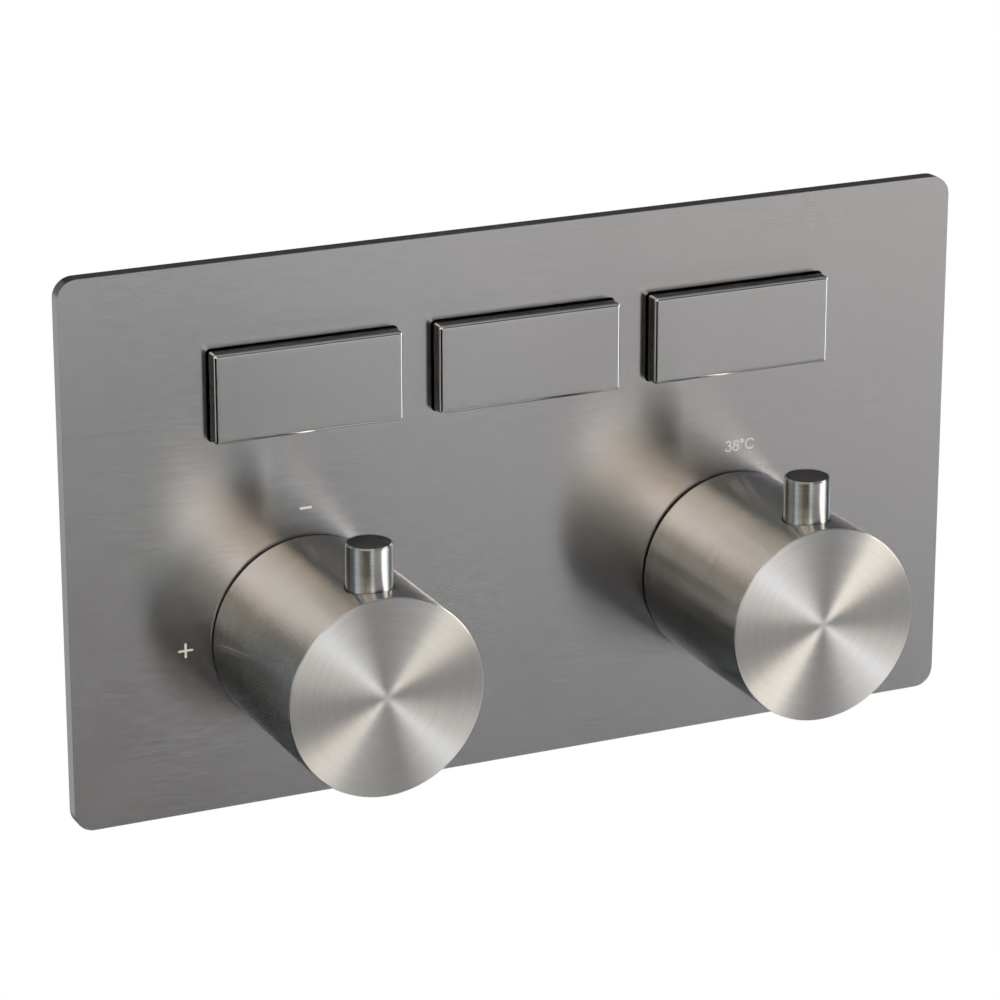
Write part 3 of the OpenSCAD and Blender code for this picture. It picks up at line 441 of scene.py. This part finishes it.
# a finish for each material slot; a plain one is its name, tone, darker tone, roughness, grains to the
# metre and the grain's height in metres
slotFinishes = {
    "plate_steel": plateFinish,
    "knob_steel": flowFinish,
    "bracket_steel": plainMetal(
        "zinc_sheet", colour(0.60, 0.61, 0.62), colour(0.50, 0.51, 0.53), 0.42, 900.0, 2e-5),
    "bright_steel": plainMetal(
        "machined_steel", colour(0.62, 0.62, 0.61), colour(0.54, 0.54, 0.53), 0.28, 1600.0, 1e-5),
    "spring_steel": plainMetal(
        "spring_wire", colour(0.50, 0.50, 0.50), colour(0.42, 0.42, 0.43), 0.25, 2400.0, 1e-5),
    "brass": plainMetal(
        "cast_brass", colour(0.78, 0.58, 0.30), colour(0.66, 0.47, 0.22), 0.38, 700.0, 6e-5),
    "copper": plainMetal(
        "copper_capsule", colour(0.82, 0.46, 0.30), colour(0.70, 0.36, 0.22), 0.30, 1200.0, 1e-5),
    "rubber": plainPlastic(
        "black_rubber", colour(0.035, 0.035, 0.036), colour(0.022, 0.022, 0.023), 0.62, 1500.0, 3e-5),
    "dark_plastic": plainPlastic(
        "dark_moulding", colour(0.050, 0.052, 0.055), colour(0.038, 0.039, 0.042), 0.45, 1800.0, 2e-5),
    "pale_plastic": plainPlastic(
        "pale_moulding", colour(0.78, 0.76, 0.70), colour(0.72, 0.70, 0.63), 0.40, 1800.0, 1e-5),
    "disc_white": plainPlastic(
        "ceramic", colour(0.86, 0.86, 0.84), colour(0.82, 0.82, 0.80), 0.18, 2600.0, 2e-6),
}
for node in nodes.values():
    for slot in node.material_slots:
        slot.material = slotFinishes[slot.material.name]
print("finishes on CAD nodes")

# visible pieces

plateShape = {"edge": 0.50 * mm}
softened("face_plate", plateFinish, plateShape["edge"])

# each knob's hole for its pin is a little wider near the surface, from mouthLow to mouthHigh
knobShape = {"edge": 0.12 * mm, "mouth": 6.05 * mm, "mouthLow": -3.4 * mm, "mouthHigh": 1.0 * mm}
for name, material, place in (("flow_knob", flowFinish, flowPlace), ("temp_knob", heatFinish, heatPlace)):
    softened(name, material, knobShape["edge"],
             mouth=((place[0], pinY), knobShape["mouth"], knobShape["mouthLow"], knobShape["mouthHigh"]))

# points within flat of the top belong to it, those above collar to its rim, and a point within
# hub of the axis stays there
pinShape = {"edge": 0.10 * mm, "collar": 4.0 * mm, "raise": 0.45 * mm, "radius": 5.65 * mm,
            "rim": 0.26 * mm, "flat": 0.01 * mm, "hub": 1.0 * mm}


def pinTop(points):
    # the top of a pin a little higher than its solid, with a narrow break round the rim: the top's
    # points move along their radius to one circle, less the rim, and the rim's points lie under it
    height = points[:, 2].copy()
    top = height.max()
    centre = np.array([points[:, 0].mean(), pinY])
    spoke = points[:, :2] - centre
    reach = np.hypot(*spoke.T)
    crown = height > top - pinShape["flat"]
    outer = crown & (reach > pinShape["hub"])
    grow = (pinShape["radius"] - pinShape["rim"]) / reach[outer]
    points[outer, :2] = centre + spoke[outer] * grow[:, None]
    points[crown, 2] += pinShape["raise"]
    points[~crown & (height > pinShape["collar"]), 2] = top + pinShape["raise"] - pinShape["rim"]
    return points


for name, material in (("flow_pin", flowPinFinish), ("temp_pin", heatPinFinish)):
    softened(name, material, pinShape["edge"], reshape=pinTop)

buttonShape = {"width": 49.0 * mm, "height": 22.4 * mm, "row": 37.0 * mm, "front": -9.6 * mm,
               "back": -0.9 * mm, "edge": 0.8 * mm, "wall": 1.2 * mm, "faceDepth": 1.6 * mm,
               "lip": 0.12 * mm, "faceInset": 2.2, "smallest": 0.02 * mm, "corners": 10, "rolls": 8}


def buttonCap(name, centreX, look):
    # a rounded rectangle carried along a profile: across the face, over the rolled edge, down the
    # wall, inside and back up; a point is its corner's centre plus the corner's radius times the
    # cosine and sine of its angle, and the profile's inset shrinks rectangle and radius alike
    turns = np.linspace(0, np.pi / 2, look["corners"] + 1)
    arms = np.concatenate([turns + quarter * np.pi / 2 for quarter in range(4)])
    cornerX = np.repeat([1, -1, -1, 1], look["corners"] + 1)
    cornerZ = np.repeat([1, 1, -1, -1], look["corners"] + 1)
    roll = np.linspace(0, np.pi / 2, look["rolls"] + 1)
    edge, front, back, wall, lip = (look[key] for key in ("edge", "front", "back", "wall", "lip"))
    outerIn = edge - edge * np.sin(roll)
    outerY = front + edge - edge * np.cos(roll)
    inset = np.concatenate([[edge * look["faceInset"]], outerIn, [0.0, lip, wall - lip, wall, wall]])
    depth = np.concatenate([[front], outerY, [back - lip, back, back, back - lip],
                            [front + look["faceDepth"]]])
    corner = np.maximum(edge - inset, look["smallest"])
    spanX = (look["width"] / 2 - inset - corner)[:, None]
    spanZ = (look["height"] / 2 - inset - corner)[:, None]
    x = cornerX * spanX + corner[:, None] * np.cos(arms)
    z = cornerZ * spanZ + corner[:, None] * np.sin(arms)
    y = np.repeat(depth[:, None], len(arms), 1)
    points = np.stack([centreX + x, y, look["row"] + z], -1).reshape(-1, 3)
    rows, count = len(depth), len(arms)
    quads = gridFaces(rows, count).tolist()
    caps = [list(range(count))[::-1], list(range((rows - 1) * count, rows * count))]
    mesh = bpy.data.meshes.new(name)
    mesh.from_pydata(points.tolist(), [], quads + caps)
    outward(mesh)
    mesh.shade_smooth()
    # 0 on the flat face, 1 from the rolled edge on
    rolled = mesh.attributes.new("rolled", "FLOAT", "POINT")
    rolled.data.foreach_set("value", np.repeat(np.concatenate([[0.0, 0.0], np.ones(rows - 2)]), count))
    return mesh


for node in ("button_left", "button_middle", "button_right"):
    cap = buttonCap(node + "_cap", middle(node)[0], buttonShape)
    evenNormals(pieceFromMesh(node + "_cap", cap, bodyOf[node], buttonFinish, [node]))
print("buttons, knobs, pins and plate")

# springs, each a finished copy of its CAD node with a mesh of its own; the share of its length left at its
# joint's longer travel is worked out but not applied, so they don't shorten

springs = {
    "button_spring_left": "push_left_slide",
    "button_spring_middle": "push_middle_slide",
    "button_spring_right": "push_right_slide",
    "return_spring": "thermostat_slide",
    "check_spring_hot": "check_hot_lift",
    "check_spring_cold": "check_cold_lift",
}
for name, joint in springs.items():
    piece = softened(name, slotFinishes["spring_steel"])
    axis = [float(abs(part)) for part in joints[joint]["axis"]]
    along = axis.index(1.0)
    travel = max(abs(end) for end in joints[joint]["range_m"])
    reach = pointsOf(piece.data)[:, along].tolist()
    1.0 - travel / (max(reach) - min(reach))
    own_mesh(piece)
print("springs")

# printed marks, all raised a hair off the plate

markLook = {"colour": colour(0.80, 0.72, 0.64), "dark": colour(0.74, 0.66, 0.58), "rough": 0.5,
            "change": 0.2, "contrast": (0.35, 0.65), "speck": 3000.0, "lift": 0.02 * mm, "steps": 40}


def printedMark(look):
    mat, start = newMaterial("printed_mark")
    speck = objectPlace(start).noise(2.0, look["speck"])
    finishMaterial(start, {
        "Base Color": speck.step(*look["contrast"]).tint(look["dark"], look["colour"]),
        "Roughness": look["rough"] + (speck - 0.5) * look["change"],
    })
    return mat


markFinish = printedMark(markLook)


def markPiece(name, points, faces):
    mesh = bpy.data.meshes.new(name)
    mesh.from_pydata(points, [], faces)
    outward(mesh)
    pieceFromMesh(name, mesh, "valve", markFinish)


def barMark(name, centre, bars):
    # flat bars through one centre, each given by its width and height: the corners of a rectangle,
    # half a size either way, at half a thickness before and behind the plate's face; the second
    # bar is a little thicker, so that no two faces lie in one place
    corners = np.array([(-0.5, -0.5), (0.5, -0.5), (0.5, 0.5), (-0.5, 0.5)])
    points, faces = [], []
    for count, size in enumerate(bars):
        thick = markLook["lift"] * (2 + 0.3 * count)
        x, z = (corners * size + centre).T
        rows = [np.stack([x, np.full(4, plateFrontY + side * thick), z], -1) for side in (-0.5, 0.5)]
        quads = gridFaces(2, 4).tolist() + [[3, 2, 1, 0], [4, 5, 6, 7]]
        faces += (np.array(quads) + len(points)).tolist()
        points += np.concatenate(rows).tolist()
    markPiece(name, points, faces)


def strokeMark(name, strokes, width):
    # thin bars along arcs of ellipses, all in mm: each stroke is its centre, half sizes, first and last
    # angle in degrees; the centre line is the centre plus the half sizes times the angle's cosine and
    # sine, and a flat section is carried along it, square to it
    points, faces = [], []
    for count, (centre, half, angles) in enumerate(strokes):
        lifted = markLook["lift"] * (1 + 0.15 * (count % 2))
        turns = np.radians(np.linspace(*angles, markLook["steps"]))
        closed = abs(angles[1] - angles[0]) >= 360
        along = np.stack([half[0] * np.cos(turns), half[1] * np.sin(turns)], -1)
        out = np.stack([half[1] * np.cos(turns), half[0] * np.sin(turns)], -1)
        out /= np.linalg.norm(out, axis=1, keepdims=True)
        if closed:
            along, out = along[:-1], out[:-1]
        rows = []
        for side, lift in ((0.5, -1.0), (0.5, 1.0), (-0.5, 1.0), (-0.5, -1.0)):
            spot = (np.array(centre) + along + out * side * width) * mm
            y = np.full(len(spot), plateFrontY + lift * lifted)
            rows.append(np.stack([spot[:, 0], y, spot[:, 1]], -1))
        grid = np.stack(rows, 1)
        quads = gridFaces(len(grid), 4)
        last = (len(grid) - 1) * 4
        if closed:
            j = np.arange(4)
            k = (j + 1) % 4
            quads = np.concatenate([quads, np.stack([last + j, last + k, k, j], -1)])
            caps = []
        else:
            caps = [[3, 2, 1, 0], [last + j for j in range(4)]]
        first = len(points)
        points += grid.reshape(-1, 3).tolist()
        faces += (quads + first).tolist() + [[first + j for j in cap] for cap in caps]
    markPiece(name, points, faces)


barMark("mark_minus", (-58.4 * mm, 5.3 * mm), [(3.2 * mm, 0.65 * mm)])
barMark("mark_plus", (-90.4 * mm, -26.8 * mm), [(3.8 * mm, 0.55 * mm), (0.6 * mm, 3.7 * mm)])
warmStop = [((57.62, 5.88), (0.67, 0.54), (162, -88)), ((57.58, 4.60), (0.77, 0.74), (88, -176)),
            ((59.80, 5.88), (0.63, 0.54), (0, 360)), ((59.78, 4.61), (0.78, 0.73), (0, 360)),
            ((61.50, 6.16), (0.38, 0.36), (0, 360)), ((63.80, 5.18), (1.21, 1.31), (36, 324))]
strokeMark("mark_warm_stop", warmStop, 0.33)
print("marks")

# studio; its angles are in degrees, and fade is the width of a patch's soft ends. For patches that
# start at behindFrom or more, an azimuth under the seam counts 360 more, so they may run past 180

studio = {"floorHalf": 6.0, "floorTone": (0.915, 0.925), "floorGrain": 6.0, "floorContrast": (0.3, 0.7),
          "ambient": 0.60, "fade": 6.0, "seam": -96.0, "behindFrom": 100}

# soft patches of light that metal shows: azimuth from straight in front of the plate, right is
# positive, and height, both as ranges, and each patch's tone
softPatches = {
    "above": ((-180, 180), (60, 96), (0.32, 0.39, 0.36)),
    "highMiddle": ((14, 44), (34, 58), (0.6, 0.55, 0.5)),
    "aboveFront": ((-75, 15), (60, 84), (0.8, 0.8, 0.78)),
    "leftHigh": ((-82, -14), (45, 60), (0.08, 0.1, 0.05)),
    "leftWarm": ((-67, -30), (22, 45), (2.9, 2.6, 2.3)),
    "frontWarm": ((-30, 6), (22, 45), (2.4, 2, 1.6)),
    "leftOuter": ((-92, -75), (-2, 22), (2.1, 2.6, 3.2)),
    "leftInner": ((-75, -52), (-2, 22), (1.6, 1.4, 0.95)),
    "leftLow": ((-98, -68), (-24, -2), (0.7, 0.7, 0.7)),
    "stripHigh": ((-15, -1), (5, 20), (3.1, 3.8, 4.8)),
    "stripLow": ((-15, -1), (-10, 5), (2.2, 2.1, 1.6)),
    "nearMiddle": ((-1, 22), (-10, 0), (1.7, 1.9, 2)),
    "nearLow": ((6, 22), (-20, -10), (0.34, 0.28, 0.25)),
    "faceMiddle": ((22, 44), (-10, 0), (1.3, 1.22, 1.12)),
    "faceLow": ((22, 44), (-20, -10), (0.77, 0.78, 0.81)),
    "rightInner": ((44, 54), (-8, 17), (0.9, 0.88, 1.0)),
    "rightBox": ((54, 68), (-8, 17), (9, 8.4, 8)),
    "rightFar": ((68, 80), (-2, 24), (8, 8, 5.8)),
    "rightHigh": ((44, 76), (22, 60), (0.33, 0.41, 0.58)),
    "lowInner": ((44, 60), (-24, -8), (3.4, 2.9, 2.6)),
    "lowerInner": ((44, 60), (-46, -24), (5.7, 5.9, 6)),
    "lowOuter": ((60, 84), (-24, -8), (0.15, 0.85, 1.2)),
    "lowerOuter": ((60, 84), (-46, -24), (0.92, 0.59, 0.94)),
    "lowest": ((44, 84), (-60, -46), (0.3, 0.3, 0.45)),
    "belowFront": ((-16, 16), (-60, -45), (1.4, 1.5, 1.7)),
    "belowMiddle": ((-5, 50), (-96, -60), (2.8, 2.8, 2.7)),
    "belowNear": ((16, 44), (-60, -42), (1.5, 1.45, 1.4)),
    "behindLeft": ((186, 261), (-40, 60), (0.15, 0.18, 0.18)),
    "behindRight": ((100, 180), (-40, 6), (0.18, 0.24, 0.29)),
    "behindEdge": ((190, 212), (-32, -5), (0.34, 0.33, 0.33)),
    "behindHigh": ((100, 180), (6, 60), (0.06, 0.06, 0.06)),
}


def rayKinds(start):
    # whether a ray is the camera's own, straight or through glass, and whether it is a mirror ray
    node = start.add("ShaderNodeLightPath").socket.node
    camera, mirror, through = [Wire(start.tree, node.outputs[key])
                               for key in ("Is Camera Ray", "Is Glossy Ray", "Is Transmission Ray")]
    return camera.maths("MAXIMUM", camera, through), mirror


def floorFinish():
    # matte for every light, plain white for the camera
    mat, start = newMaterial("pale_floor")
    grain = objectPlace(start).noise(3.0, studio["floorGrain"])
    tone = grain.step(*studio["floorContrast"]).tint(*[colour(v, v, v) for v in studio["floorTone"]])
    matte = start.add("ShaderNodeBsdfDiffuse", None, {"Color": tone})
    glow = start.add("ShaderNodeEmission", None, {"Color": colour(1, 1, 1), "Strength": 1.0})
    seen, _ = rayKinds(start)
    mixed = start.add("ShaderNodeMixShader", None, {0: seen, 1: matte, 2: glow})
    start.add("ShaderNodeOutputMaterial", None, {"Surface": mixed})
    return mat


# metal looks past the floor, at the soft patches, because the photograph's steel shows no floor
floorMesh = bpy.data.meshes.new("floor")
floorZ = round(cadBox[0][2], 5)
floorCorners = [(x * studio["floorHalf"], y * studio["floorHalf"], floorZ)
                for x, y in ((-1, -1), (1, -1), (1, 1), (-1, 1))]
floorMesh.from_pydata(floorCorners, [], [(0, 1, 2, 3)])
floorMesh.materials.append(floorFinish())
floor = linked("floor", floorMesh)
floor.visible_glossy = False


def within(angle, limits, fade):
    # 1 inside the range, soft at both ends
    low, high = np.radians(limits).tolist()
    return angle.step(low - fade / 2, low + fade / 2) * (1.0 - angle.step(high - fade / 2, high + fade / 2))


def studioWorld():
    # mirror rays see the sum of the soft patches; the camera sees white, all other rays the ambient grey
    world = bpy.data.worlds.new("studio")
    world.use_nodes = True
    world.cycles.sampling_method = "NONE"
    world.node_tree.nodes.clear()
    air = Wire(world.node_tree)
    x, y, z = split(air.add("ShaderNodeTexCoord", out="Generated"))
    azimuth = x.maths("ARCTAN2", x, y * -1.0)
    around = azimuth + azimuth.maths("LESS_THAN", azimuth, math.radians(studio["seam"])) * math.tau
    height = z.maths("ARCSINE", z)
    fade = math.radians(studio["fade"])
    total = join(air, 0.0, 0.0, 0.0)
    for name, (sweep, rise, tone) in softPatches.items():
        turned = azimuth if sweep[0] < studio["behindFrom"] else around
        mask = within(turned, sweep, fade) * within(height, rise, fade)
        patch = air.add("ShaderNodeVectorMath", {"operation": "SCALE", "label": name},
                        {0: tone, "Scale": mask})
        total = total.shift(patch)
    seen, mirror = rayKinds(air)
    plain = seen * (1.0 - studio["ambient"]) + studio["ambient"]
    level = plain.tint(colour(0, 0, 0), colour(1, 1, 1))
    backdrop = air.add("ShaderNodeBackground", None, {"Color": mirror.tint(level, total)})
    air.add("ShaderNodeOutputWorld", None, {"Surface": backdrop})
    return world


bpy.context.scene.world = studioWorld()


def softbox(name, place, size, power, tone):
    # an area lamp, aimed at the object, that lights dull surfaces; the camera and the steel don't see it
    lamp = bpy.data.lights.new(name, "AREA")
    lamp.shape = "RECTANGLE"
    lamp.size, lamp.size_y = size
    lamp.energy = power
    lamp.color = tone
    holder = linked(name, lamp)
    holder.location = place
    holder.rotation_euler = (-Vector(place)).to_track_quat("-Z", "Y").to_euler()
    holder.visible_camera = False
    holder.visible_glossy = False


softbox("key", (-1.2, -1.6, 1.6), (1.4, 1.0), 22.0, (1.0, 0.98, 0.95))
softbox("fill", (1.6, -1.4, 0.6), (1.0, 1.4), 8.0, (0.97, 0.98, 1.0))

# the camera stands where the photograph's did

cameraLook = {"place": (-421.15 * mm, -901.25 * mm, 334.74 * mm), "lens": 151.0, "sensor": 36.0,
              "right": (0.90754, -0.41996, 0.00017), "up": (0.13471, 0.29148, 0.94704),
              "back": (-0.39777, -0.85946, 0.32110), "near": 0.05, "far": 50.0}
eye = bpy.data.cameras.new("camera")
eye.lens = cameraLook["lens"]
eye.sensor_width = cameraLook["sensor"]
eye.clip_start = cameraLook["near"]
eye.clip_end = cameraLook["far"]
camera = linked("camera", eye)
turn = Matrix([cameraLook[key] for key in ("right", "up", "back")]).transposed().to_4x4()
camera.matrix_world = Matrix.Translation(cameraLook["place"]) @ turn
bpy.context.scene.camera = camera
bpy.context.scene.view_settings.view_transform = "Standard"
print("studio and camera")
